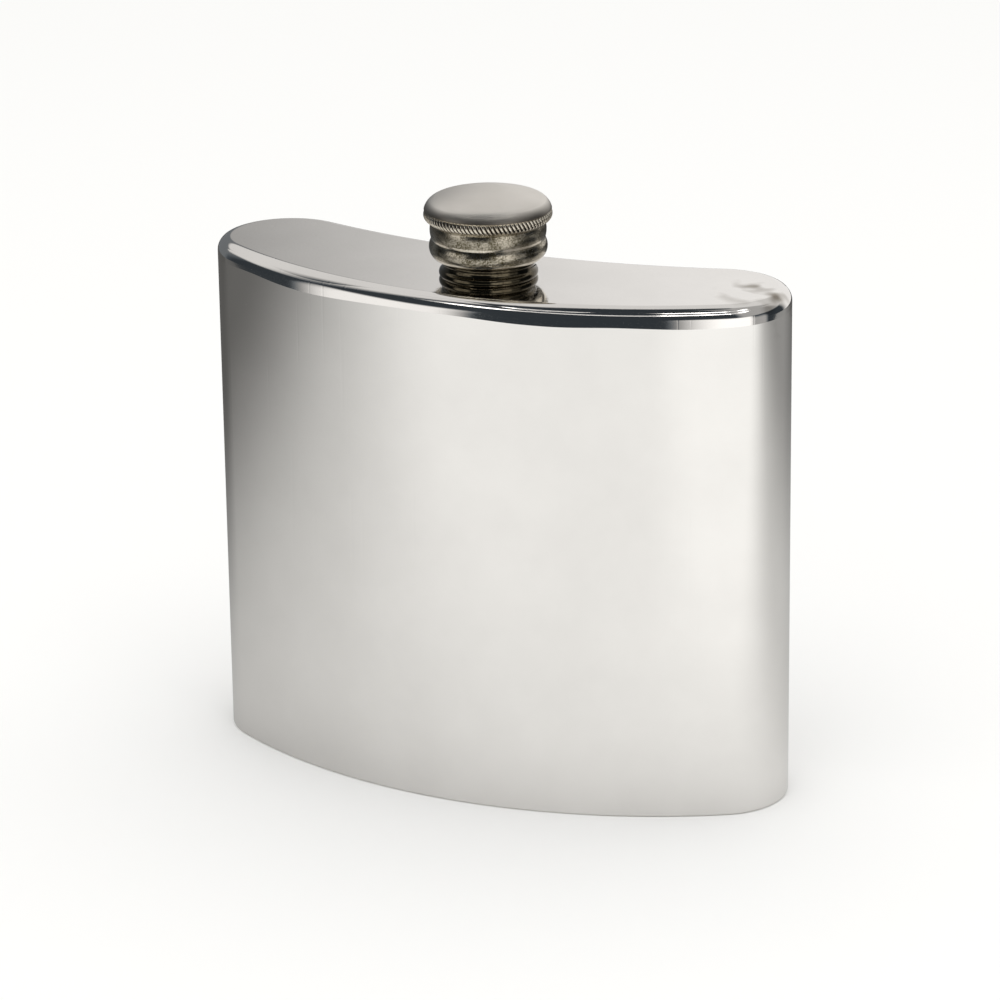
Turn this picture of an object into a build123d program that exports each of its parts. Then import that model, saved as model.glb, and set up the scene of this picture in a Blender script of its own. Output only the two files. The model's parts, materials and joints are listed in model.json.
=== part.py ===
from build123d import *
import os
from math import asin, ceil, cos, degrees, hypot, radians, sin, sqrt

# A pocket hip flask: a curved pewter body with a screw-capped metal neck.
# Frame: +Z up, the convex front faces -Y, the concave back faces +Y.
# Origin: on the base, in the middle of the body's width and of its depth there.
# All sizes are in millimetres.

# Body
body_width = 98.0
body_depth = 27.9
body_height = 84.3
front_radius = 84.5
end_radius = 11.4
sheet = 1.4
base_thickness = 1.2
base_edge_radius = 0.5
top_depth = 3.4
top_edge_radius = 2.2
seam_gap = 0.3
seam_bead_radius = 0.9
solder_bead_height = 1.6
solder_bead_thickness = 0.5
solder_fillet = 1.2
solder_feather = 0.05

# Neck; its heights are measured up from the face of the top plate
neck_x = 1.9
neck_bore_radius = 5.7
neck_root_radius = 6.8
neck_foot_radius = 7.8
neck_foot_height = 1.3
neck_groove_radius = 7.2
neck_collar_radius = 7.5
neck_collar_span = (2.1, 2.9)
neck_bead_bulge = 0.35
neck_height = 10.2
tenon_reach = 1.3

# Screw thread
pitch = 2.5
thread_height = 0.7
thread_root_width = 1.1
thread_crest_width = 0.6
thread_clearance = 0.1
thread_bite = 0.1
thread_spare = 0.2
thread_arcs_per_turn = 3
neck_thread_span = (3.3, 9.0)
cap_thread_span = (4.4, 8.4)

# Cap; its heights are measured up from the face of the top plate
cap_edge_height = 3.1
cap_edge_radius = 8.6
cap_edge_chamfer = 0.2
cap_lower_bead = (9.3, 4.75)
cap_groove = (8.9, 6.1)
cap_upper_bead = (9.15, 7.45)
cap_collar = (9.0, 8.6)
cap_spigot_radius = 8.6
cap_spigot_height = 11.2
rope_edge_top = (9.85, 10.65)
rope_edge_middle = (10.1, 9.95)
rope_edge_low = (9.7, 9.2)
rope_edge_hollow = (9.3, 8.85)
cap_solder_inset = 0.1
cap_solder_reach = 1.0
dome_height = 13.85
dome_radius = 28.5
dome_thickness = 0.9
shoulder_radius = 2.5
shoulder_start_tilt = 17
shoulder_end_tilt = 75

# Liner between the neck's mouth and the cap
liner_gap = 0.1
facing_radius = 7.2
facing_thickness = 0.25
cork_radius = 7.3
cork_thickness = 1.25

# Values that follow from the ones above
thread_start = neck_thread_span[0] - pitch
wall_top = body_height - top_depth
plate_underside = body_height - sheet
cap_bore_radius = neck_root_radius + thread_height + thread_clearance
end_x = body_width / 2 - end_radius
front_y = front_radius - body_depth / 2
end_y = front_y - sqrt((front_radius - end_radius) ** 2 - end_x**2)
end_drop = end_y - body_depth / 2
back_radius = (end_x**2 + end_drop**2 - end_radius**2) / (2 * (end_radius + end_drop))
back_y = body_depth / 2 + back_radius


def on_circle(center, through, radius):
    """The point where the line from a centre through another point meets a circle."""
    x = through[0] - center[0]
    y = through[1] - center[1]
    scale = radius / hypot(x, y)
    return (center[0] + x * scale, center[1] + y * scale)


def kidney(inset=0.0, height=0.0):
    """The body's section: a convex front, a concave back and two round ends."""
    end = (end_x, end_y)
    front_joint = on_circle((0, front_y), end, front_radius - inset)
    back_joint = on_circle((0, back_y), end, back_radius + inset)
    halfway = ((front_joint[0] + back_joint[0]) / 2, (front_joint[1] + back_joint[1]) / 2)
    tip = on_circle(end, halfway, end_radius - inset)
    mirrored = [(-x, y) for x, y in (front_joint, tip, back_joint)]
    outline = Wire(
        [
            ThreePointArc(mirrored[0], (0, inset - body_depth / 2), front_joint).edge(),
            ThreePointArc(front_joint, tip, back_joint).edge(),
            ThreePointArc(back_joint, (0, body_depth / 2 - inset), mirrored[2]).edge(),
            ThreePointArc(mirrored[2], mirrored[1], mirrored[0]).edge(),
        ]
    )
    return Pos(0, 0, height) * Face(outline)


def slab(inset, low, high):
    """The section, drawn in by an inset and raised between two heights."""
    return extrude(kidney(inset, low), high - low)


def ring(outer_inset, inner_inset, low, high):
    """The wall between two insets of the section."""
    return slab(outer_inset, low, high) - slab(inner_inset, low, high)


def turned(*steps):
    """A solid turned about the neck's axis, from an outline of radii and heights.

    Each step is the end of a line, or the middle and the end of an arc.
    """
    first = steps[0]
    edges = []
    here = first
    for step in steps[1:]:
        if isinstance(step[0], tuple):
            edges.append(ThreePointArc(here, step[0], step[1]).edge())
            here = step[1]
        else:
            edges.append(Line(here, step).edge())
            here = step
    if here != first:
        edges.append(Line(here, first).edge())
    profile = Plane.XZ * Face(Wire(edges))
    return Pos(neck_x, 0, body_height) * revolve(profile, Axis.Z)


def thread_ridge(root_radius, direction, span, start_height):
    """A helical ridge whose ends run out in cones.

    Direction is +1 for a ridge that stands outwards and -1 for one that stands inwards.
    One short arc of a taller ridge is swept, and its copies are trimmed and joined.
    """
    low, high = span
    flank = (thread_root_width - thread_crest_width) / 2 / thread_height
    foot = root_radius - direction * thread_spare
    tip = root_radius + direction * (thread_height + thread_spare)
    foot_half = thread_root_width / 2 + flank * thread_spare
    tip_half = thread_crest_width / 2 - flank * thread_spare
    section = Polyline(
        (foot, -foot_half),
        (tip, -tip_half),
        (tip, tip_half),
        (foot, foot_half),
        close=True,
    )
    rise = pitch / thread_arcs_per_turn
    path = Helix(pitch, rise, foot)
    arc = sweep(Plane.XZ * make_face(section), path=path, is_frenet=True)
    inside = root_radius - direction * thread_bite
    crest = root_radius + direction * thread_height
    envelope = turned(
        (inside, low),
        (root_radius, low),
        (crest, low + thread_height),
        (crest, high - thread_height),
        (root_radius, high),
        (inside, high),
    )
    ridge = Part()
    for step in range(ceil((high + pitch - start_height) / rise)):
        height = body_height + start_height + step * rise
        turn = step * 360 / thread_arcs_per_turn
        ridge += (Pos(neck_x, 0, height) * Rot(0, 0, turn) * arc) & envelope
    return ridge


def make_body_wall():
    """One sheet wrapped into the section, its two edges facing across the seam."""
    wall = ring(0, sheet, base_thickness, wall_top)
    return wall - seam_slot()


def seam_slot():
    """The gap between the sheet's two edges, at the middle of the left end."""
    slot_depth = 2 * sheet + seam_bead_radius
    slot_height = wall_top - base_thickness
    slot = Box(slot_depth, seam_gap, slot_height)
    return Pos(-body_width / 2, end_y, base_thickness + slot_height / 2) * slot


def make_side_seam_solder():
    """Solder that fills the seam and stands proud inside the body."""
    low = base_thickness + solder_fillet
    high = wall_top - solder_bead_height / 2
    rod = Cylinder(seam_bead_radius, high - low)
    rod = Pos(sheet - body_width / 2, end_y, (low + high) / 2) * rod
    fill = seam_slot() & slab(0, base_thickness, wall_top)
    beads = make_base_joint_solder() + make_top_joint_solder()
    return fill + rod - make_body_wall() - beads


def make_base_plate():
    plate = slab(0, 0, base_thickness)
    return fillet(plate.faces().sort_by(Axis.Z)[0].edges(), base_edge_radius)


def make_base_joint_solder():
    """A fillet of solder in the corner between the wall and the base plate."""
    top = base_thickness + solder_fillet
    foot = kidney(sheet + solder_fillet, base_thickness)
    brim = kidney(sheet + solder_feather, top)
    return slab(sheet, base_thickness, top) - loft([foot, brim])


def make_top_plate():
    """A pressed plate with a rounded edge, a turned-down rim and a hole for the neck."""
    plate = slab(0, wall_top, body_height)
    plate = fillet(plate.faces().sort_by(Axis.Z)[-1].edges(), top_edge_radius)
    hollow = slab(sheet, wall_top, plate_underside)
    hollow = fillet(hollow.faces().sort_by(Axis.Z)[-1].edges(), top_edge_radius - sheet)
    hole = Pos(neck_x, 0, body_height) * Cylinder(neck_root_radius, 4 * sheet)
    return plate - hollow - hole


def make_top_joint_solder():
    """A bead of solder inside the body, across the joint of wall and top plate."""
    low = wall_top - solder_bead_height / 2
    return ring(sheet, sheet + solder_bead_thickness, low, low + solder_bead_height)


def make_neck():
    """A turned tube: tenon, foot bead, collar, screw thread and rounded mouth."""
    tenon_end = -sheet - tenon_reach
    mouth_middle = (neck_bore_radius + neck_root_radius) / 2
    mouth_bend = (neck_root_radius - neck_bore_radius) / 2
    foot_side = neck_foot_radius - neck_bead_bulge
    collar_side = neck_collar_radius - neck_bead_bulge
    collar_low, collar_high = neck_collar_span
    collar_middle = (collar_low + collar_high) / 2
    groove_middle = (neck_foot_height + collar_low) / 2
    tube = turned(
        (neck_bore_radius, tenon_end),
        (neck_root_radius, tenon_end),
        (neck_root_radius, 0),
        (foot_side, 0),
        ((neck_foot_radius, neck_foot_height / 2), (foot_side, neck_foot_height)),
        ((neck_groove_radius, groove_middle), (collar_side, collar_low)),
        ((neck_collar_radius, collar_middle), (collar_side, collar_high)),
        (neck_root_radius, collar_high),
        (neck_root_radius, neck_height - mouth_bend),
        ((mouth_middle, neck_height), (neck_bore_radius, neck_height - mouth_bend)),
    )
    return tube + thread_ridge(neck_root_radius, 1, neck_thread_span, thread_start)


def make_neck_solder():
    """A fillet of solder around the neck's tenon, under the top plate."""
    return turned(
        (neck_root_radius, -sheet),
        (neck_root_radius, -sheet - solder_fillet),
        (neck_root_radius + solder_fillet, -sheet),
    )


def disc(radius, low, thickness):
    """A flat disc on the neck's axis."""
    top = low + thickness
    return turned((0, low), (radius, low), (radius, top), (0, top))


def make_wad_facing():
    """A thin metal disc that the neck's mouth seals against."""
    return disc(facing_radius, neck_height + liner_gap, facing_thickness)


def make_cork_wad():
    """The springy cork disc above the facing."""
    low = neck_height + liner_gap + facing_thickness
    return disc(cork_radius, low, cork_thickness)


def make_cap_shell():
    """The cap's threaded skirt: two rolled beads under a plain collar."""
    skirt = turned(
        (cap_bore_radius, cap_edge_height + cap_edge_chamfer),
        (cap_bore_radius + cap_edge_chamfer, cap_edge_height),
        (cap_edge_radius, cap_edge_height),
        (cap_lower_bead, cap_groove),
        (cap_upper_bead, cap_collar),
        (cap_spigot_radius, cap_collar[1]),
        (cap_spigot_radius, cap_spigot_height),
        (cap_bore_radius, cap_spigot_height),
    )
    return skirt + thread_ridge(cap_bore_radius, -1, cap_thread_span, thread_start + pitch / 2)


def on_dome(tilt, depth=0.0):
    """A point of the dome's broad top, where its skin has a tilt, some depth below it."""
    radius = dome_radius - depth
    angle = radians(tilt)
    return (radius * sin(angle), dome_height - dome_radius + radius * cos(angle))


def on_shoulder(tilt, depth=0.0):
    """A point of the dome's rounded shoulder, in the same way."""
    center = on_dome(shoulder_start_tilt, shoulder_radius)
    radius = shoulder_radius - depth
    angle = radians(tilt)
    return (center[0] + radius * sin(angle), center[1] + radius * cos(angle))


def make_cap_top():
    """The domed disc, whose edge turns down over the skirt's spigot."""
    inner = dome_thickness
    start = shoulder_start_tilt
    end = shoulder_end_tilt
    reach = cap_spigot_radius - on_shoulder(0)[0]
    inner_end = degrees(asin(reach / (shoulder_radius - inner)))
    return turned(
        (0, dome_height - inner),
        (0, dome_height),
        (on_dome(start / 2), on_dome(start)),
        (on_shoulder((start + end) / 2), on_shoulder(end)),
        rope_edge_top,
        (rope_edge_middle, rope_edge_low),
        (rope_edge_hollow, cap_collar),
        (cap_spigot_radius, cap_collar[1]),
        on_shoulder(inner_end, inner),
        (on_shoulder((start + inner_end) / 2, inner), on_dome(start, inner)),
        (on_dome(start / 2, inner), (0, dome_height - inner)),
    )


def make_cap_solder():
    """Solder in the corner between the spigot's end and the underside of the dome."""
    inner = cap_bore_radius + cap_solder_inset
    top = cap_spigot_height + cap_solder_reach
    wedge = turned(
        (inner, cap_spigot_height),
        (cap_spigot_radius, cap_spigot_height),
        (cap_spigot_radius, top),
        (inner, top),
    )
    return wedge - make_cap_top()


makers = {
    "body_wall": make_body_wall,
    "side_seam_solder": make_side_seam_solder,
    "base_plate": make_base_plate,
    "base_joint_solder": make_base_joint_solder,
    "top_plate": make_top_plate,
    "top_joint_solder": make_top_joint_solder,
    "neck": make_neck,
    "neck_solder": make_neck_solder,
    "wad_facing": make_wad_facing,
    "cork_wad": make_cork_wad,
    "cap_shell": make_cap_shell,
    "cap_top": make_cap_top,
    "cap_solder": make_cap_solder,
}

os.makedirs("parts", exist_ok=True)
for name, make in makers.items():
    export_step(make(), f"parts/{name}.step")
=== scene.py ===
import json
import math

import bmesh
import bpy
from mathutils import Matrix, Vector

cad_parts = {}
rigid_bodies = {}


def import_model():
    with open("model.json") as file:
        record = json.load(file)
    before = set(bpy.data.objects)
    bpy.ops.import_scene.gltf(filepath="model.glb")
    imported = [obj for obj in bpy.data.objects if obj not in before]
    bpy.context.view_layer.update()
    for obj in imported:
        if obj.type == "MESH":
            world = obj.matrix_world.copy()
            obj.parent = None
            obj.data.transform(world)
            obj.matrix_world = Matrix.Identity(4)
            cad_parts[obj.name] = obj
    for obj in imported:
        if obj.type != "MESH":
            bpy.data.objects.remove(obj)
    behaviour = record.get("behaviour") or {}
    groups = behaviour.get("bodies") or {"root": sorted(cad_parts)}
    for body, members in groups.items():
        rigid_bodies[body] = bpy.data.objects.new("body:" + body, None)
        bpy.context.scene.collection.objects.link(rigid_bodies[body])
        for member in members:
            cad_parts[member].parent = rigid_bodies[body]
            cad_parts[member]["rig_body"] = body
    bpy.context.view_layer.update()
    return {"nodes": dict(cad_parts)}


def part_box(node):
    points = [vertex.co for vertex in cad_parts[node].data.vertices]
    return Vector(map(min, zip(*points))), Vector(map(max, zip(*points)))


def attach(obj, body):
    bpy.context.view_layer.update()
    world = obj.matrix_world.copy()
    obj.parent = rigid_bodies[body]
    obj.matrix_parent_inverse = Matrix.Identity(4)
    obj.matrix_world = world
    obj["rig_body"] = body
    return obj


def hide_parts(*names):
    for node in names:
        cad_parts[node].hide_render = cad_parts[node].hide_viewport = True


# The looks of a pewter hip flask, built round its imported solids.
# Frame: metres, +Z up, the convex front faces -Y, and the flask stands on z = 0.

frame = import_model()
nodes = frame["nodes"]

MM = 0.001

# ---------------------------------------------------------------- sizes, in millimetres

body_low, body_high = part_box("body_wall")
plate_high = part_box("top_plate")[1]
base_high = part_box("base_plate")[1]
neck_low, neck_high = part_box("neck")

end_radius = 11.4
front_radius = 84.5
sheet = 1.4
half_width = body_high.x / MM
front_face = body_low.y / MM
end_x = half_width - end_radius
front_y = front_face + front_radius
end_y = front_y - math.sqrt((front_radius - end_radius) ** 2 - end_x**2)
back_face = 13.95
end_drop = end_y - back_face
back_radius = (end_x**2 + end_drop**2 - end_radius**2) / (2 * (end_radius + end_drop))
back_y = back_face + back_radius
seam_gap = 0.3

wall_bottom = body_low.z / MM
wall_top = body_high.z / MM
plate_face = plate_high.z / MM
base_thickness = base_high.z / MM
top_edge_radius = 2.2
base_edge_radius = 0.5
dressed_low = 82.5
dressed_high = 84.8
dressed_waver = 2.4
smudge_x = 44.7
smudge_y = 7.5
near = 0.01
merge_distance = 0.002

neck_x = (neck_low.x + neck_high.x) / 2 / MM
neck_bore = 5.7
neck_root = 6.8
neck_mouth = 10.2
pitch = 2.5
thread_height = 0.7
thread_root_width = 1.1
thread_crest_width = 0.6
thread_start = 0.8
thread_low = 3.3
thread_high = 9.0

cap_bore = 7.6
cap_spigot = 8.6
cap_thread_low = 4.4
cap_thread_high = 8.4
dome_top = 13.85
dome_radius = 28.5
dome_thickness = 0.9
shoulder_radius = 2.5
shoulder_start = 17
shoulder_end = 75

# The rope edge: slanting ridges, each eight columns of the mesh wide, over eight rows.
rope_edge_top = (9.85, 10.65)
rope_edge_middle = (10.1, 9.95)
rope_edge_low = (9.7, 9.2)
ridges = 90
columns_per_ridge = 8
rope_top = 10.55
rope_step = 0.18
rope_rows = 8


# ---------------------------------------------------------------- modelling helpers


def begin(name, size, location, rotation=(0, 0, 0)):
    """Adds a plane at its size and place, in millimetres, and opens it in edit mode."""
    bpy.ops.object.select_all(action="DESELECT")
    bpy.ops.mesh.primitive_plane_add(
        size=size * MM, location=Vector(location) * MM, rotation=rotation
    )
    bpy.ops.object.transform_apply(location=True, rotation=True, scale=True)
    piece = bpy.context.object
    piece.name = name
    piece.data.name = name
    bpy.ops.object.mode_set(mode="EDIT")
    return piece


def middle(part):
    """The middle of a vertex, an edge or a face, in millimetres."""
    if isinstance(part, bmesh.types.BMVert):
        return part.co / MM
    corners = [v.co for v in part.verts]
    return sum(corners, Vector()) / len(corners) / MM


def pick(piece, kind, wanted):
    """Selects just those vertices, edges or faces that pass a test."""
    modes = {"verts": "VERT", "edges": "EDGE", "faces": "FACE"}
    bpy.ops.mesh.select_mode(type=modes[kind])
    bpy.ops.mesh.select_all(action="DESELECT")
    shape = bmesh.from_edit_mesh(piece.data)
    for part in getattr(shape, kind):
        if wanted(part):
            part.select = True
    shape.select_flush_mode()
    bmesh.update_edit_mesh(piece.data)


def turn(center, degrees, steps):
    """Spins the selection about an upright axis through a point, in millimetres."""
    bpy.ops.mesh.spin(
        steps=steps,
        angle=math.radians(-degrees),
        center=(center[0] * MM, center[1] * MM, 0),
        axis=(0, 0, 1),
    )


def close_up(piece):
    """Merges what meets and turns every face outwards."""
    bpy.ops.mesh.select_all(action="SELECT")
    bpy.ops.mesh.remove_doubles(threshold=merge_distance * MM)
    bpy.ops.mesh.normals_make_consistent(inside=False)
    bpy.ops.object.mode_set(mode="OBJECT")


def finish_with(piece, kind, **settings):
    """Adds a modifier and applies it."""
    modifier = piece.modifiers.new("step", kind)
    for name, value in settings.items():
        setattr(modifier, name, value)
    bpy.context.view_layer.objects.active = piece
    bpy.ops.object.modifier_apply(modifier=modifier.name)


def smooth(piece, degrees):
    """Smooth shading that keeps edges sharper than an angle."""
    bpy.ops.object.select_all(action="DESELECT")
    piece.select_set(True)
    bpy.context.view_layer.objects.active = piece
    bpy.ops.object.shade_smooth_by_angle(angle=math.radians(degrees))


def arc(start, through, end, count):
    """Points along the arc through three points, without its start."""
    (ax, ay), (bx, by), (cx, cy) = start, through, end
    d = 2 * (ax * (by - cy) + bx * (cy - ay) + cx * (ay - by))
    a2, b2, c2 = ax * ax + ay * ay, bx * bx + by * by, cx * cx + cy * cy
    ux = (a2 * (by - cy) + b2 * (cy - ay) + c2 * (ay - by)) / d
    uy = (a2 * (cx - bx) + b2 * (ax - cx) + c2 * (bx - ax)) / d
    radius = math.hypot(ax - ux, ay - uy)
    first = math.atan2(ay - uy, ax - ux)
    passed = math.remainder(math.atan2(by - uy, bx - ux) - first, math.tau)
    last = math.remainder(math.atan2(cy - uy, cx - ux) - first, math.tau)
    if passed * last < 0:
        last += math.copysign(math.tau, passed)
    return [
        (
            ux + radius * math.cos(first + last * i / count),
            uy + radius * math.sin(first + last * i / count),
        )
        for i in range(1, count + 1)
    ]


def turned(name, profile, steps, height=0.0):
    """Draws a closed outline of radii and heights, and spins it round the neck's axis."""
    first = profile[0]
    piece = begin(name, 1, (neck_x + first[0] - 0.5, 0.5, height + first[1]))
    pick(piece, "verts", lambda v: middle(v).x < neck_x + first[0] - 0.5 or middle(v).y > 0.5)
    bpy.ops.mesh.delete(type="VERT")
    bpy.ops.mesh.select_all(action="SELECT")
    here = first
    for point in profile[1:]:
        step = ((point[0] - here[0]) * MM, 0, (point[1] - here[1]) * MM)
        bpy.ops.mesh.extrude_region_move(TRANSFORM_OT_translate={"value": step})
        here = point
    bpy.ops.mesh.select_all(action="SELECT")
    turn((neck_x, 0), 360, steps)
    close_up(piece)
    return piece


def outline(name, low, high, seam=0.0):
    """Sweeps an upright edge through the five arcs of the kidney-shaped section, from the
    left end round the front and back again. A seam is left open there if it has a width."""
    height = high - low
    tip = math.degrees(math.asin(seam / 2 / end_radius))
    start = math.radians(180 + tip)
    x = -end_x + end_radius * math.cos(start)
    y = end_y + end_radius * math.sin(start)
    piece = begin(
        name, height, (x - height / 2, y, (low + high) / 2), (math.radians(90), 0, 0)
    )
    pick(piece, "verts", lambda v: middle(v).x < x - height / 2)
    bpy.ops.mesh.delete(type="VERT")
    bpy.ops.mesh.select_all(action="SELECT")
    front_half = math.degrees(math.asin(end_x / (front_radius - end_radius)))
    back_half = math.degrees(math.asin(end_x / (back_radius + end_radius)))
    turn((-end_x, end_y), 90 - front_half - tip, 22)
    turn((0, front_y), 2 * front_half, 64)
    turn((end_x, end_y), 180 - front_half + back_half, 60)
    turn((0, back_y), -2 * back_half, 40)
    turn((-end_x, end_y), 90 + back_half - tip, 40)
    return piece


# ---------------------------------------------------------------- body

body_wall = outline("body_wall_sheet", wall_bottom, wall_top, seam_gap)
close_up(body_wall)
finish_with(body_wall, "SOLIDIFY", thickness=sheet * MM, offset=-1, use_even_offset=True)
smooth(body_wall, 30)

top_plate = outline("top_plate_pressing", wall_top, plate_face)
bpy.ops.mesh.select_all(action="SELECT")
bpy.ops.mesh.remove_doubles(threshold=merge_distance * MM)
pick(top_plate, "edges", lambda e: middle(e).z > plate_face - near)
bpy.ops.mesh.edge_face_add()
bpy.ops.mesh.select_all(action="SELECT")
bpy.ops.mesh.normals_make_consistent(inside=False)
pick(top_plate, "edges", lambda e: middle(e).z > plate_face - near)
bpy.ops.mesh.bevel(offset=top_edge_radius * MM, segments=16, profile=0.5, affect="EDGES")
bpy.ops.object.mode_set(mode="OBJECT")
finish_with(top_plate, "SOLIDIFY", thickness=sheet * MM, offset=-1, use_even_offset=True)
bpy.ops.object.select_all(action="DESELECT")
bpy.ops.mesh.primitive_cylinder_add(
    vertices=96,
    radius=neck_root * MM,
    depth=10 * MM,
    location=(neck_x * MM, 0, plate_face * MM),
)
punch = bpy.context.object
finish_with(top_plate, "BOOLEAN", operation="DIFFERENCE", solver="EXACT", object=punch)
bpy.data.objects.remove(punch)
smooth(top_plate, 35)
finish_with(top_plate, "WEIGHTED_NORMAL", mode="FACE_AREA", keep_sharp=True)

base_plate = outline("base_plate_disc", 0, base_thickness)
bpy.ops.mesh.select_all(action="SELECT")
bpy.ops.mesh.remove_doubles(threshold=merge_distance * MM)
for level in (0, base_thickness):
    pick(base_plate, "edges", lambda e: abs(middle(e).z - level) < near)
    bpy.ops.mesh.edge_face_add()
bpy.ops.mesh.select_all(action="SELECT")
bpy.ops.mesh.normals_make_consistent(inside=False)
pick(base_plate, "edges", lambda e: middle(e).z < near)
bpy.ops.mesh.bevel(offset=base_edge_radius * MM, segments=6, profile=0.5, affect="EDGES")
bpy.ops.object.mode_set(mode="OBJECT")
smooth(base_plate, 35)
finish_with(base_plate, "WEIGHTED_NORMAL", mode="FACE_AREA", keep_sharp=True)

# ---------------------------------------------------------------- neck


def thread_ridge(name, root, direction, low, high, start):
    """A helical ridge, cut back in cones at its ends. Heights are above the plate. It is
    made too deep at first, and its trimming leaves the root just under the surface."""
    spare = 0.2
    sunk = 0.15
    steps_per_turn = 80
    flank = (thread_root_width - thread_crest_width) / 2 / thread_height
    foot = root - direction * spare
    tip = root + direction * (thread_height + spare)
    foot_half = thread_root_width / 2 + flank * spare
    tip_half = thread_crest_width / 2 - flank * spare
    turns = (high - low) / pitch + 2
    first = start - pitch
    while first + pitch < low:
        first += pitch
    corners = [(foot, -foot_half), (tip, -tip_half), (tip, tip_half), (foot, foot_half)]
    piece = begin(name, 2, (0, 0, 0))
    shape = bmesh.from_edit_mesh(piece.data)
    shape.faces.ensure_lookup_table()
    for vertex, (radius, height) in zip(shape.faces[0].verts[:], corners):
        vertex.co = Vector((radius, 0, first + height)) * MM
    bmesh.update_edit_mesh(piece.data)
    pick(piece, "faces", lambda f: True)
    bpy.ops.mesh.delete(type="ONLY_FACE")
    bpy.ops.object.mode_set(mode="OBJECT")
    finish_with(
        piece,
        "SCREW",
        angle=math.tau * turns,
        screw_offset=pitch * turns * MM,
        steps=int(steps_per_turn * turns),
        render_steps=int(steps_per_turn * turns),
        iterations=1,
        axis="Z",
        use_merge_vertices=False,
        use_normal_calculate=True,
    )
    bpy.ops.object.mode_set(mode="EDIT")
    bpy.ops.mesh.select_mode(type="EDGE")
    bpy.ops.mesh.select_all(action="DESELECT")
    bpy.ops.mesh.select_non_manifold(extend=False, use_boundary=True)
    bpy.ops.mesh.edge_face_add()
    bpy.ops.mesh.select_all(action="SELECT")
    bpy.ops.transform.translate(value=(neck_x * MM, 0, plate_face * MM))
    close_up(piece)
    inside = root - direction * sunk
    crest = root + direction * thread_height
    envelope = turned(
        name + "_trim",
        [
            (inside, low),
            (root, low),
            (crest, low + thread_height),
            (crest, high - thread_height),
            (root, high),
            (inside, high),
            (inside, low),
        ],
        128,
        plate_face,
    )
    finish_with(piece, "BOOLEAN", operation="INTERSECT", solver="EXACT", object=envelope)
    bpy.data.objects.remove(envelope)
    return piece


def join(main, *others):
    """Joins pieces into the first."""
    bpy.ops.object.select_all(action="DESELECT")
    for piece in (main, *others):
        piece.select_set(True)
    bpy.context.view_layer.objects.active = main
    bpy.ops.object.join()


tenon_end = -2.7
lip = neck_mouth - 0.55
lip_middle = (neck_root + neck_bore) / 2
neck_profile = [(neck_bore, tenon_end), (neck_root, tenon_end), (neck_root, -0.02), (7.45, 0.0)]
# the foot bead on the plate, the hollow over it, and the collar under the thread
neck_profile += arc((7.45, 0.0), (7.8, 0.65), (7.45, 1.3), 10)
neck_profile += arc((7.45, 1.3), (7.2, 1.7), (7.15, 2.1), 8)
neck_profile += arc((7.15, 2.1), (7.5, 2.5), (7.15, 2.9), 10)
neck_profile += [(neck_root, 2.9), (neck_root, lip)]
neck_profile += arc((neck_root, lip), (lip_middle, neck_mouth), (neck_bore, lip), 14)
neck_profile += [(neck_bore, tenon_end)]
neck = turned("neck_tube", neck_profile, 144, plate_face)
neck_thread = thread_ridge(
    "neck_thread_ridge", neck_root, 1, thread_low, thread_high, thread_start
)
join(neck, neck_thread)
smooth(neck, 32)

# ---------------------------------------------------------------- cap

skirt_low = 3.1
bead_joint = 6.1
dome_seat = 8.6
spigot_high = 11.2
shell_profile = [(cap_bore, skirt_low + 0.2), (cap_bore + 0.2, skirt_low), (8.45, skirt_low)]
shell_profile += [(cap_spigot, 3.2)]
# the lower and the upper rolled bead
shell_profile += arc((cap_spigot, 3.2), (9.3, 4.75), (8.9, bead_joint), 18)
shell_profile += arc((8.9, bead_joint), (9.15, 7.45), (9.0, dome_seat), 18)
shell_profile += [(cap_spigot, dome_seat), (cap_spigot, spigot_high), (cap_bore, spigot_high)]
shell_profile += [(cap_bore, skirt_low + 0.2)]
cap_shell = turned("cap_shell_skirt", shell_profile, 160, plate_face)
cap_thread = thread_ridge(
    "cap_thread_ridge",
    cap_bore,
    -1,
    cap_thread_low,
    cap_thread_high,
    thread_start + pitch / 2,
)
join(cap_shell, cap_thread)
smooth(cap_shell, 32)


def on_dome(tilt, depth=0.0):
    """A point of the dome's broad top, where its skin has a tilt, some depth below it."""
    radius = dome_radius - depth
    angle = math.radians(tilt)
    return (radius * math.sin(angle), dome_top - dome_radius + radius * math.cos(angle))


def on_shoulder(tilt, depth=0.0):
    """A point of the dome's rounded shoulder, in the same way."""
    center = on_dome(shoulder_start, shoulder_radius)
    radius = shoulder_radius - depth
    angle = math.radians(tilt)
    return (center[0] + radius * math.sin(angle), center[1] + radius * math.cos(angle))


shoulder_middle = (shoulder_start + shoulder_end) / 2
inner_end = math.degrees(
    math.asin((cap_spigot - on_shoulder(0)[0]) / (shoulder_radius - dome_thickness))
)
top_profile = [(0, dome_top)]
top_profile += arc((0, dome_top), on_dome(shoulder_start / 2), on_dome(shoulder_start), 14)
top_profile += arc(
    on_dome(shoulder_start), on_shoulder(shoulder_middle), on_shoulder(shoulder_end), 14
)
top_profile.append(rope_edge_top)
rope_arc = arc(rope_edge_top, rope_edge_middle, rope_edge_low, 400)
for row in range(rope_rows):
    level = rope_top - rope_step * row
    top_profile.append(min(rope_arc, key=lambda p: abs(p[1] - level)))
top_profile.append(rope_edge_low)
top_profile += arc(rope_edge_low, (9.3, 8.85), (9.0, dome_seat), 8)
top_profile += [(cap_spigot, dome_seat), on_shoulder(inner_end, dome_thickness)]
top_profile += arc(
    on_shoulder(inner_end, dome_thickness),
    on_shoulder((shoulder_start + inner_end) / 2, dome_thickness),
    on_dome(shoulder_start, dome_thickness),
    4,
)
top_profile += arc(
    on_dome(shoulder_start, dome_thickness),
    on_dome(shoulder_start / 2, dome_thickness),
    (0, dome_top - dome_thickness),
    6,
)
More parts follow.
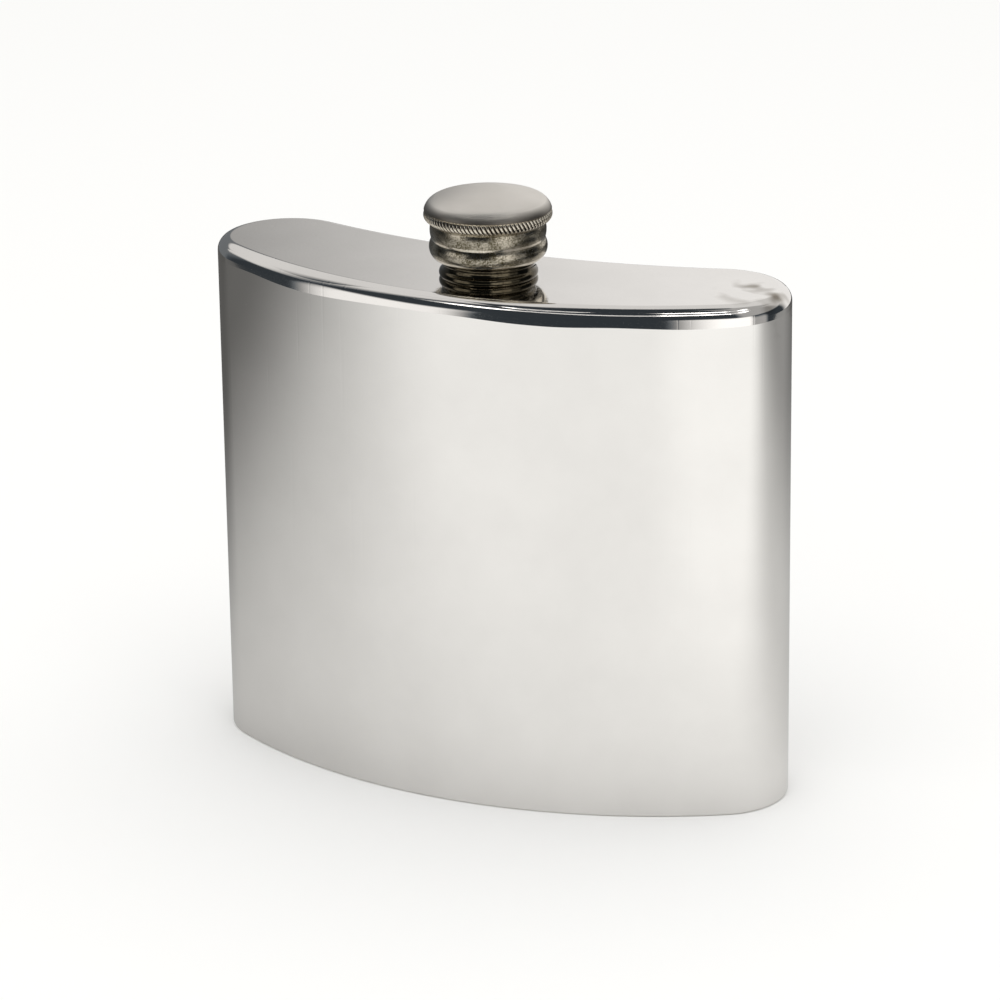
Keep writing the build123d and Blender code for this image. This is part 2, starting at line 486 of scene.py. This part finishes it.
cap_top = turned("cap_dome", top_profile, ridges * columns_per_ridge, plate_face)


def rope_phase(vertex):
    """Which of a ridge's columns a vertex of the rope edge is in, or None elsewhere."""
    place = middle(vertex)
    radius = math.hypot(place.x - neck_x, place.y)
    level = place.z - plate_face
    row = round((rope_top - level) / rope_step)
    off_row = abs(rope_top - row * rope_step - level) > 0.02
    if radius < 9.65 or not 0 <= row < rope_rows or off_row:
        return None
    angle = math.atan2(place.y, place.x - neck_x) / math.tau
    column = round(angle * ridges * columns_per_ridge)
    return (column - row) % columns_per_ridge, row


# The grooves are cut by drawing columns inwards, half as deep in the first and last rows.
groove_depths = ((0.3, (0,)), (0.17, (1, 7)), (0.05, (2, 6)))
row_shares = (((0, 7), 0.5), ((1, 2, 3, 4, 5, 6), 1))
rope_radius = 10
bpy.context.view_layer.objects.active = cap_top
bpy.ops.object.mode_set(mode="EDIT")
shape = bmesh.from_edit_mesh(cap_top.data)
phases = {v.index: rope_phase(v) for v in shape.verts}
for depth, columns in groove_depths:
    for rows, share in row_shares:
        pick(
            cap_top,
            "verts",
            lambda v: phases[v.index]
            and phases[v.index][0] in columns
            and phases[v.index][1] in rows,
        )
        scale = 1 - depth * share / rope_radius
        bpy.ops.transform.resize(
            value=(scale, scale, 1), center_override=(neck_x * MM, 0, 0)
        )
bpy.ops.object.mode_set(mode="OBJECT")
smooth(cap_top, 50)

# ---------------------------------------------------------------- materials

# The sockets of a colour Mix node, which has several of each name.
first_colour = 6
second_colour = 7
mixed_colour = 2


def colour(code):
    """An sRGB hex value as a linear colour."""
    values = [int(code[i : i + 2], 16) / 255 for i in (1, 3, 5)]
    linear = [v / 12.92 if v <= 0.04045 else ((v + 0.055) / 1.055) ** 2.4 for v in values]
    return (*linear, 1.0)


def add(material, kind, settings=None, links=None):
    """Adds a node, with its settings and its links from other nodes' sockets."""
    tree = material.node_tree
    node = tree.nodes.new(kind)
    for name, value in (settings or {}).items():
        if isinstance(name, int) or name in node.inputs:
            node.inputs[name].default_value = value
        else:
            setattr(node, name, value)
    for name, source in (links or {}).items():
        tree.links.new(source, node.inputs[name])
    return node


def new_material(name):
    """An empty node material."""
    material = bpy.data.materials.new(name)
    material.use_nodes = True
    material.node_tree.nodes.clear()
    return material


def polished_pewter():
    """Sheet pewter, buffed by hand: a soft warm mirror, slightly uneven, with buffing
    hairlines, a few pits and cloudy patches where the cloth left it duller. The wall's
    joint with the top plate is dressed by hand, so it leans in a little along a wavy line,
    and the right end of the plate has brownish smudges."""
    m = new_material("polished_pewter")
    place = add(m, "ShaderNodeTexCoord").outputs["Object"]
    clouds = add(
        m,
        "ShaderNodeTexNoise",
        {"Scale": 60, "Detail": 4, "Roughness": 0.6},
        {"Vector": place},
    )
    swell = add(m, "ShaderNodeTexNoise", {"Scale": 45, "Detail": 1}, {"Vector": place})
    pits = add(m, "ShaderNodeTexVoronoi", {"Scale": 420, "Randomness": 1}, {"Vector": place})
    pit = add(
        m,
        "ShaderNodeMapRange",
        {"From Min": 0.015, "From Max": 0.05, "To Min": 1, "To Max": 0},
        {"Value": pits.outputs["Distance"]},
    )
    # two sets of hairlines, finer than a millimetre across and some 30 mm long
    scratches = None
    for angle, scale in ((0.6, 1500), (-0.9, 1200)):
        turned_place = add(
            m,
            "ShaderNodeMapping",
            {"Rotation": (0.2, angle, 0), "Scale": (scale, scale, 30)},
            {"Vector": place},
        )
        lines = add(
            m,
            "ShaderNodeTexNoise",
            {"Scale": 1, "Detail": 0},
            {"Vector": turned_place.outputs["Vector"]},
        )
        thin = add(
            m,
            "ShaderNodeMapRange",
            {"From Min": 0.74, "From Max": 0.82},
            {"Value": lines.outputs["Fac"]},
        )
        if scratches is None:
            scratches = thin.outputs["Result"]
        else:
            scratches = add(
                m,
                "ShaderNodeMath",
                {"operation": "MAXIMUM"},
                {0: scratches, 1: thin.outputs["Result"]},
            ).outputs["Value"]
    tint = add(m, "ShaderNodeValToRGB", {}, {"Fac": clouds.outputs["Fac"]})
    tint.color_ramp.elements[0].position = 0.35
    tint.color_ramp.elements[0].color = colour("#ebe9e6")
    tint.color_ramp.elements[1].position = 0.65
    tint.color_ramp.elements[1].color = colour("#f0eeeb")
    gloss = add(
        m,
        "ShaderNodeMapRange",
        {"From Min": 0.3, "From Max": 0.75, "To Min": 0.055, "To Max": 0.1},
        {"Value": clouds.outputs["Fac"]},
    )
    wave = add(
        m,
        "ShaderNodeBump",
        {"Strength": 0.6, "Distance": 0.00006},
        {"Height": swell.outputs["Fac"]},
    )
    marks = add(
        m,
        "ShaderNodeBump",
        {"Strength": 0.25, "Distance": 0.00001, "invert": True},
        {"Height": scratches, "Normal": wave.outputs["Normal"]},
    )
    dents = add(
        m,
        "ShaderNodeBump",
        {"Strength": 0.2, "Distance": 0.00002, "invert": True},
        {"Height": pit.outputs["Result"], "Normal": marks.outputs["Normal"]},
    )
    # the dressed joint: under the rim the surface leans in over some two millimetres
    unevenness = add(m, "ShaderNodeTexNoise", {"Scale": 34, "Detail": 1}, {"Vector": place})
    height = add(m, "ShaderNodeSeparateXYZ", {}, {"Vector": place}).outputs["Z"]
    wavy = add(
        m,
        "ShaderNodeMath",
        {"operation": "MULTIPLY_ADD", 1: dressed_waver * MM},
        {0: unevenness.outputs["Fac"], 2: height},
    )
    dressed = add(
        m,
        "ShaderNodeMapRange",
        {"From Min": dressed_low * MM, "From Max": dressed_high * MM},
        {"Value": wavy.outputs["Value"]},
    )
    bent = add(
        m,
        "ShaderNodeBump",
        {"Strength": 1, "Distance": 0.00044, "invert": True},
        {"Height": dressed.outputs["Result"], "Normal": dents.outputs["Normal"]},
    )
    # the smudges at the plate's right end
    stain_spot = add(
        m,
        "ShaderNodeVectorMath",
        {"operation": "DISTANCE", 1: (smudge_x * MM, smudge_y * MM, plate_face * MM)},
        {0: place},
    )
    stain_reach = add(
        m,
        "ShaderNodeMapRange",
        {"From Min": 0.003, "From Max": 0.008, "To Min": 1, "To Max": 0},
        {"Value": stain_spot.outputs["Value"]},
    )
    stain_shape = add(m, "ShaderNodeTexNoise", {"Scale": 270, "Detail": 1}, {"Vector": place})
    stain_edge = add(
        m,
        "ShaderNodeMapRange",
        {"From Min": 0.48, "From Max": 0.7},
        {"Value": stain_shape.outputs["Fac"]},
    )
    stain = add(
        m,
        "ShaderNodeMath",
        {"operation": "MULTIPLY"},
        {0: stain_reach.outputs["Result"], 1: stain_edge.outputs["Result"]},
    )
    stained = add(
        m,
        "ShaderNodeMix",
        {"data_type": "RGBA", second_colour: colour("#8c857a")},
        {"Factor": stain.outputs["Value"], first_colour: tint.outputs["Color"]},
    )
    skin = add(
        m,
        "ShaderNodeBsdfPrincipled",
        {"Metallic": 1.0},
        {
            "Base Color": stained.outputs[mixed_colour],
            "Roughness": gloss.outputs["Result"],
            "Normal": bent.outputs["Normal"],
        },
    )
    add(m, "ShaderNodeOutputMaterial", {}, {"Surface": skin.outputs["BSDF"]})
    return m


def plated_brass(name, light, dark, gloss_low, gloss_high, grain):
    """Worn nickel plate on cast brass: brown-grey, speckled by the casting's fine grain,
    brighter and sharper where handling has polished it."""
    m = new_material(name)
    place = add(m, "ShaderNodeTexCoord").outputs["Object"]
    speckle = add(
        m,
        "ShaderNodeTexNoise",
        {"Scale": 4600, "Detail": 2, "Roughness": 0.6},
        {"Vector": place},
    )
    patches = add(m, "ShaderNodeTexNoise", {"Scale": 420, "Detail": 3}, {"Vector": place})
    share = add(
        m, "ShaderNodeMath", {"operation": "MULTIPLY", 1: 0.4}, {0: patches.outputs["Fac"]}
    )
    mixed = add(
        m,
        "ShaderNodeMath",
        {"operation": "MULTIPLY_ADD", 1: 0.6},
        {0: speckle.outputs["Fac"], 2: share.outputs["Value"]},
    )
    tint = add(m, "ShaderNodeValToRGB", {}, {"Fac": mixed.outputs["Value"]})
    tint.color_ramp.elements[0].position = 0.42
    tint.color_ramp.elements[0].color = colour(dark)
    tint.color_ramp.elements[1].position = 0.58
    tint.color_ramp.elements[1].color = colour(light)
    gloss = add(
        m,
        "ShaderNodeMapRange",
        {"From Min": 0.4, "From Max": 0.6, "To Min": gloss_high, "To Max": gloss_low},
        {"Value": mixed.outputs["Value"]},
    )
    bumps = add(
        m,
        "ShaderNodeBump",
        {"Strength": grain, "Distance": 0.00002},
        {"Height": speckle.outputs["Fac"]},
    )
    skin = add(
        m,
        "ShaderNodeBsdfPrincipled",
        {"Metallic": 1.0},
        {
            "Base Color": tint.outputs["Color"],
            "Roughness": gloss.outputs["Result"],
            "Normal": bumps.outputs["Normal"],
        },
    )
    add(m, "ShaderNodeOutputMaterial", {}, {"Surface": skin.outputs["BSDF"]})
    return m


def satin_nickel():
    """Fine-brushed nickel plate on the cap's disc: a pale, soft sheen that scatters much of
    its light, so that it stays light where a mirror would be dark, with painted shade, a
    darker colour, along the disc's edge."""
    m = new_material("satin_nickel_plate")
    place = add(m, "ShaderNodeTexCoord").outputs["Object"]
    clouds = add(m, "ShaderNodeTexNoise", {"Scale": 160, "Detail": 3}, {"Vector": place})
    grain = add(m, "ShaderNodeTexNoise", {"Scale": 9000, "Detail": 1}, {"Vector": place})
    tint = add(m, "ShaderNodeValToRGB", {}, {"Fac": clouds.outputs["Fac"]})
    tint.color_ramp.elements[0].position = 0.3
    tint.color_ramp.elements[0].color = colour("#dcd8d1")
    tint.color_ramp.elements[1].position = 0.7
    tint.color_ramp.elements[1].color = colour("#e4e0da")
    from_axis = add(
        m,
        "ShaderNodeVectorMath",
        {"operation": "SUBTRACT", 1: (neck_x * MM, 0, 0)},
        {0: place},
    )
    flat = add(
        m,
        "ShaderNodeVectorMath",
        {"operation": "MULTIPLY", 1: (1, 1, 0)},
        {0: from_axis.outputs["Vector"]},
    )
    reach = add(m, "ShaderNodeVectorMath", {"operation": "LENGTH"}, {0: flat.outputs["Vector"]})
    # painted shade: the disc's colour darkens towards its edge, over its rounded shoulder
    edge = add(
        m,
        "ShaderNodeMapRange",
        {"From Min": 0.0091, "From Max": 0.0101},
        {"Value": reach.outputs["Value"]},
    )
    shaded = add(
        m,
        "ShaderNodeMix",
        {"data_type": "RGBA", second_colour: colour("#544e45")},
        {"Factor": edge.outputs["Result"], first_colour: tint.outputs["Color"]},
    )
    bumps = add(
        m,
        "ShaderNodeBump",
        {"Strength": 0.1, "Distance": 0.000004},
        {"Height": grain.outputs["Fac"]},
    )
    skin = add(
        m,
        "ShaderNodeBsdfPrincipled",
        {"Metallic": 0.93, "Roughness": 0.4},
        {"Base Color": shaded.outputs[mixed_colour], "Normal": bumps.outputs["Normal"]},
    )
    add(m, "ShaderNodeOutputMaterial", {}, {"Surface": skin.outputs["BSDF"]})
    return m


def soft_solder():
    """Soft solder left as it flowed: dull grey, faintly lumpy."""
    m = new_material("soft_solder")
    place = add(m, "ShaderNodeTexCoord").outputs["Object"]
    lumps = add(m, "ShaderNodeTexNoise", {"Scale": 700, "Detail": 3}, {"Vector": place})
    tint = add(m, "ShaderNodeValToRGB", {}, {"Fac": lumps.outputs["Fac"]})
    tint.color_ramp.elements[0].color = colour("#a3a19c")
    tint.color_ramp.elements[1].color = colour("#cbc9c4")
    bumps = add(
        m,
        "ShaderNodeBump",
        {"Strength": 0.5, "Distance": 0.0001},
        {"Height": lumps.outputs["Fac"]},
    )
    skin = add(
        m,
        "ShaderNodeBsdfPrincipled",
        {"Metallic": 1.0, "Roughness": 0.38},
        {"Base Color": tint.outputs["Color"], "Normal": bumps.outputs["Normal"]},
    )
    add(m, "ShaderNodeOutputMaterial", {}, {"Surface": skin.outputs["BSDF"]})
    return m


def rolled_tin():
    """Rolled tin sheet: pale, satin, with fine rolling lines."""
    m = new_material("rolled_tin")
    place = add(m, "ShaderNodeTexCoord").outputs["Object"]
    along = add(m, "ShaderNodeMapping", {"Scale": (60, 5000, 60)}, {"Vector": place})
    lines = add(
        m, "ShaderNodeTexNoise", {"Scale": 1, "Detail": 3}, {"Vector": along.outputs["Vector"]}
    )
    gloss = add(
        m,
        "ShaderNodeMapRange",
        {"To Min": 0.22, "To Max": 0.42},
        {"Value": lines.outputs["Fac"]},
    )
    bumps = add(
        m,
        "ShaderNodeBump",
        {"Strength": 0.2, "Distance": 0.00001},
        {"Height": lines.outputs["Fac"]},
    )
    skin = add(
        m,
        "ShaderNodeBsdfPrincipled",
        {"Base Color": colour("#d9d8d4"), "Metallic": 1.0},
        {"Roughness": gloss.outputs["Result"], "Normal": bumps.outputs["Normal"]},
    )
    add(m, "ShaderNodeOutputMaterial", {}, {"Surface": skin.outputs["BSDF"]})
    return m


def pressed_cork():
    """Pressed cork: warm brown grains of about a millimetre, matt, with dark pores."""
    m = new_material("pressed_cork")
    place = add(m, "ShaderNodeTexCoord").outputs["Object"]
    grains = add(m, "ShaderNodeTexVoronoi", {"Scale": 1000}, {"Vector": place})
    pores = add(m, "ShaderNodeTexNoise", {"Scale": 1800, "Detail": 4}, {"Vector": place})
    tint = add(m, "ShaderNodeValToRGB", {}, {"Fac": pores.outputs["Fac"]})
    tint.color_ramp.elements[0].position = 0.35
    tint.color_ramp.elements[0].color = colour("#6e4a2c")
    tint.color_ramp.elements[1].position = 0.6
    tint.color_ramp.elements[1].color = colour("#b98a5c")
    bumps = add(
        m,
        "ShaderNodeBump",
        {"Strength": 0.6, "Distance": 0.0002},
        {"Height": grains.outputs["Distance"]},
    )
    skin = add(
        m,
        "ShaderNodeBsdfPrincipled",
        {"Roughness": 0.85},
        {"Base Color": tint.outputs["Color"], "Normal": bumps.outputs["Normal"]},
    )
    add(m, "ShaderNodeOutputMaterial", {}, {"Surface": skin.outputs["BSDF"]})
    return m


def give(piece, material):
    """Makes a material the only one of a piece."""
    piece.data.materials.clear()
    piece.data.materials.append(material)


pewter = polished_pewter()
nickel = plated_brass("nickel_plated_brass", "#b5ae9f", "#57513f", 0.15, 0.28, 0.9)
# the neck's copy of the plate is darker: painted shade under the cap
neck_nickel_painted_shade = plated_brass("polished_nickel_painted_shade", "#625b4b", "#403a2e", 0.05, 0.1, 0.1)
# the rope edge's copy is polished and lighter: the lower roughness is real, the lighter colour
# is a painted highlight
rope_nickel_painted_highlight = plated_brass("rope_edge_painted_highlight", "#e2dccf", "#c2b9a8", 0.08, 0.16, 0.1)
# a dark copy of the plate for the rope's grooves: painted shade
groove_painted_shade = plated_brass("painted_shade_in_the_grooves", "#4a4339", "#2b2620", 0.25, 0.4, 0.3)
dome_nickel = satin_nickel()
solder = soft_solder()
tin = rolled_tin()
cork = pressed_cork()

for piece, node, slot, finish in (
    (body_wall, "body_wall", "pewter", pewter),
    (top_plate, "top_plate", "pewter", pewter),
    (base_plate, "base_plate", "pewter", pewter),
    (neck, "neck", "plated_brass", neck_nickel_painted_shade),
    (cap_shell, "cap_shell", "plated_brass", nickel),
    (cap_top, "cap_top", "cap_dome", dome_nickel),
):
    give(piece, finish)
    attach(piece, nodes[node]["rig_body"])
    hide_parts(node)

# The disc's skin is satin. Its rope edge and underside are polished, with a lighter colour as a
# painted highlight, and the rope's grooves are darkened as painted shade.
skin_index = 0
polished_highlight_index = 1
groove_index = 2
groove_half = 1.7
cap_top.data.materials.append(rope_nickel_painted_highlight)
cap_top.data.materials.append(groove_painted_shade)
for face in cap_top.data.polygons:
    place = face.center / MM
    level = place.z - plate_face
    row = (rope_top - level) / rope_step
    column = math.atan2(place.y, place.x - neck_x) / math.tau * ridges * columns_per_ridge
    phase = (column - row) % columns_per_ridge
    in_rope = math.hypot(place.x - neck_x, place.y) > 9.35 and -0.6 < row < rope_rows - 0.4
    if face.normal.z > 0 and level > rope_edge_top[1] + 0.1:
        face.material_index = skin_index
    elif in_rope and (phase < groove_half or phase > columns_per_ridge - groove_half):
        face.material_index = groove_index
    else:
        face.material_index = polished_highlight_index

# The undersides of the skirt's two beads are polished too, and their lighter colour is a
# painted highlight.
bead_undersides = ((bead_joint, 6.5), (3.15, 3.7))
cap_shell.data.materials.append(rope_nickel_painted_highlight)
for face in cap_shell.data.polygons:
    level = face.center.z / MM - plate_face
    outside = math.hypot(face.center.x / MM - neck_x, face.center.y / MM) > 8.5
    if outside and any(low < level < high for low, high in bead_undersides):
        face.material_index = polished_highlight_index

for node, finish in (
    ("side_seam_solder", solder),
    ("base_joint_solder", solder),
    ("top_joint_solder", solder),
    ("neck_solder", solder),
    ("cap_solder", solder),
    ("wad_facing", tin),
    ("cork_wad", cork),
):
    for holder in nodes[node].material_slots:
        holder.material = finish

# ---------------------------------------------------------------- studio


def reflector(thing):
    """Keeps a studio card out of sight: only what polished metal mirrors shows it."""
    thing.visible_camera = False
    thing.visible_diffuse = False
    thing.visible_shadow = False
    thing.visible_transmission = False
    thing.visible_volume_scatter = False


bpy.ops.object.select_all(action="DESELECT")
bpy.ops.mesh.primitive_plane_add(size=8, location=(0, 0, 0))
floor = bpy.context.object
floor.name = "floor"
floor_paper = new_material("matt_white_paper")
skin = add(floor_paper, "ShaderNodeBsdfDiffuse", {"Color": colour("#f7f7f6")})
add(floor_paper, "ShaderNodeOutputMaterial", {}, {"Surface": skin.outputs["BSDF"]})
give(floor, floor_paper)

world = bpy.data.worlds.new("studio")
world.use_nodes = True
surround = world.node_tree.nodes["Background"]
surround.inputs["Color"].default_value = (1, 0.995, 0.985, 1)
surround.inputs["Strength"].default_value = 0.95
bpy.context.scene.world = world

key_data = bpy.data.lights.new("overhead_softbox", "AREA")
key_data.shape = "RECTANGLE"
key_data.size = 0.9
key_data.size_y = 0.7
key_data.energy = 3.0
key = bpy.data.objects.new("overhead_softbox", key_data)
bpy.context.scene.collection.objects.link(key)
key.location = (0.25, -0.35, 1.1)
key.rotation_euler = (Vector((0, 0, 0.04)) - key.location).to_track_quat("-Z", "Y").to_euler()
key.visible_glossy = False

# The tent: what polished metal mirrors above the floor. Each light is a window in
# azimuth (from the front, towards +X) and in height angle, with soft borders, in degrees.
# One that stands on the floor has no lower end.
tent_dark = 0.045
tent_lights = (
    # azimuth, half width, border, low, high, border, strength
    (55, 15, 14, None, 24, 8, 1.25),
    (88, 8, 10, None, 8, 24, 0.4),
    (-40, 12, 14, None, 22, 12, 1.0),
    (-184, 22, 20, None, 30, 14, 0.9),
    (-130, 30, 20, None, 30, 20, 0.18),
    (-152, 62, 30, 32, 77, 6, 0.72),
    (110, 40, 20, 32, 77, 6, 0.4),
    (20, 70, 15, 59, 62, 1.5, 1.0),
    (-35, 10, 4, 59.5, 62, 1.5, 4.5),
    (40, 10, 4, 59.5, 62, 1.5, 4.5),
    (85, 10, 4, 59.5, 62, 1.5, 4.5),
)

bpy.ops.object.select_all(action="DESELECT")
bpy.ops.mesh.primitive_uv_sphere_add(segments=48, ring_count=24, radius=1.3)
tent = bpy.context.object
tent.name = "light_tent"
reflector(tent)
tent_cloth = new_material("lit_tent_cloth")
place = add(tent_cloth, "ShaderNodeTexCoord").outputs["Object"]
ray = add(tent_cloth, "ShaderNodeVectorMath", {"operation": "NORMALIZE"}, {0: place})
height = add(tent_cloth, "ShaderNodeSeparateXYZ", {}, {"Vector": ray.outputs["Vector"]})
flat = add(
    tent_cloth,
    "ShaderNodeVectorMath",
    {"operation": "MULTIPLY", 1: (1, 1, 0)},
    {0: ray.outputs["Vector"]},
)
level = add(
    tent_cloth, "ShaderNodeVectorMath", {"operation": "NORMALIZE"}, {0: flat.outputs["Vector"]}
)
glow = None
for azimuth, half, border, low, high, rim, strength in tent_lights:
    a = math.radians(azimuth)
    towards = add(
        tent_cloth,
        "ShaderNodeVectorMath",
        {"operation": "DOT_PRODUCT", 1: (math.sin(a), -math.cos(a), 0)},
        {0: level.outputs["Vector"]},
    )
    sideways = add(
        tent_cloth,
        "ShaderNodeMapRange",
        {
            "interpolation_type": "SMOOTHSTEP",
            "From Min": math.cos(math.radians(half + border)),
            "From Max": math.cos(math.radians(half)),
        },
        {"Value": towards.outputs["Value"]},
    )
    below = add(
        tent_cloth,
        "ShaderNodeMapRange",
        {
            "interpolation_type": "SMOOTHSTEP",
            "From Min": math.sin(math.radians(high)),
            "From Max": math.sin(math.radians(high + rim)),
            "To Min": strength,
            "To Max": 0,
        },
        {"Value": height.outputs["Z"]},
    )
    lit = add(
        tent_cloth,
        "ShaderNodeMath",
        {"operation": "MULTIPLY"},
        {0: sideways.outputs["Result"], 1: below.outputs["Result"]},
    ).outputs["Value"]
    if low is not None:
        above = add(
            tent_cloth,
            "ShaderNodeMapRange",
            {
                "interpolation_type": "SMOOTHSTEP",
                "From Min": math.sin(math.radians(low - rim)),
                "From Max": math.sin(math.radians(low)),
            },
            {"Value": height.outputs["Z"]},
        )
        lit = add(
            tent_cloth,
            "ShaderNodeMath",
            {"operation": "MULTIPLY"},
            {0: lit, 1: above.outputs["Result"]},
        ).outputs["Value"]
    if glow is None:
        glow = lit
    else:
        glow = add(
            tent_cloth, "ShaderNodeMath", {"operation": "MAXIMUM"}, {0: glow, 1: lit}
        ).outputs["Value"]
glow = add(
    tent_cloth, "ShaderNodeMath", {"operation": "MAXIMUM", 1: tent_dark}, {0: glow}
).outputs["Value"]
tone = add(tent_cloth, "ShaderNodeValToRGB", {}, {"Fac": glow})
tone.color_ramp.elements[0].position = 0.05
tone.color_ramp.elements[0].color = colour("#ddefff")
tone.color_ramp.elements[1].position = 0.3
tone.color_ramp.elements[1].color = colour("#fffdfb")
shine = add(
    tent_cloth, "ShaderNodeEmission", {}, {"Color": tone.outputs["Color"], "Strength": glow}
)
add(tent_cloth, "ShaderNodeOutputMaterial", {}, {"Surface": shine.outputs["Emission"]})
give(tent, tent_cloth)

# Grey cloths on the floor, seen only by polished metal: each lies towards an azimuth, in
# degrees like the tent's, begins softly at one distance and is full at another, in metres.
# Full, it hides its share of the floor.
floor_cloths = (
    # azimuth, begins, full, share
    (-125, -0.05, 0.07, 0.3),
    (-125, 0.03, 0.23, 0.85),
    (175, -0.05, 0.08, 0.4),
    (155, 0.1, 0.25, 0.55),
    (-65, -0.06, -0.01, 0.1),
)
bpy.ops.object.select_all(action="DESELECT")
bpy.ops.mesh.primitive_plane_add(size=2.6, location=(0, 0, 0.0002))
shade = bpy.context.object
shade.name = "floor_cloths"
reflector(shade)
cloth = new_material("grey_floor_cloth")
place = add(cloth, "ShaderNodeTexCoord").outputs["Object"]
clear = None
for azimuth, begins, full, share in floor_cloths:
    a = math.radians(azimuth)
    along = add(
        cloth,
        "ShaderNodeVectorMath",
        {"operation": "DOT_PRODUCT", 1: (math.sin(a), -math.cos(a), 0)},
        {0: place},
    )
    left = add(
        cloth,
        "ShaderNodeMapRange",
        {
            "interpolation_type": "SMOOTHSTEP",
            "From Min": begins,
            "From Max": full,
            "To Min": 1,
            "To Max": 1 - share,
        },
        {"Value": along.outputs["Value"]},
    ).outputs["Result"]
    if clear is None:
        clear = left
    else:
        clear = add(
            cloth, "ShaderNodeMath", {"operation": "MULTIPLY"}, {0: clear, 1: left}
        ).outputs["Value"]
see_through = add(cloth, "ShaderNodeBsdfTransparent")
grey = add(cloth, "ShaderNodeEmission", {"Color": colour("#fffcf7"), "Strength": 0.05})
both = add(
    cloth,
    "ShaderNodeMixShader",
    {},
    {"Fac": clear, 1: grey.outputs["Emission"], 2: see_through.outputs["BSDF"]},
)
add(cloth, "ShaderNodeOutputMaterial", {}, {"Surface": both.outputs["Shader"]})
give(shade, cloth)

# ---------------------------------------------------------------- camera

azimuth = math.radians(25.204)
elevation = math.radians(19.493)
roll = math.radians(-0.763)
distance = 0.7594
back = Vector(
    (
        math.sin(azimuth) * math.cos(elevation),
        -math.cos(azimuth) * math.cos(elevation),
        math.sin(elevation),
    )
)
right = Vector((math.cos(azimuth), math.sin(azimuth), 0))
up = back.cross(right)
across = right * math.cos(roll) + up * math.sin(roll)
upright = up * math.cos(roll) - right * math.sin(roll)
target = right * 0.003016 + up * 0.04383
camera_data = bpy.data.cameras.new("camera")
camera_data.lens = 167.85
camera_data.sensor_width = 36
camera_data.clip_start = 0.05
camera_data.clip_end = 20
camera = bpy.data.objects.new("camera", camera_data)
bpy.context.scene.collection.objects.link(camera)
camera.matrix_world = Matrix.Translation(target + back * distance) @ Matrix(
    (across, upright, back)
).transposed().to_4x4()
bpy.context.scene.camera = camera
bpy.context.scene.view_settings.view_transform = "Standard"
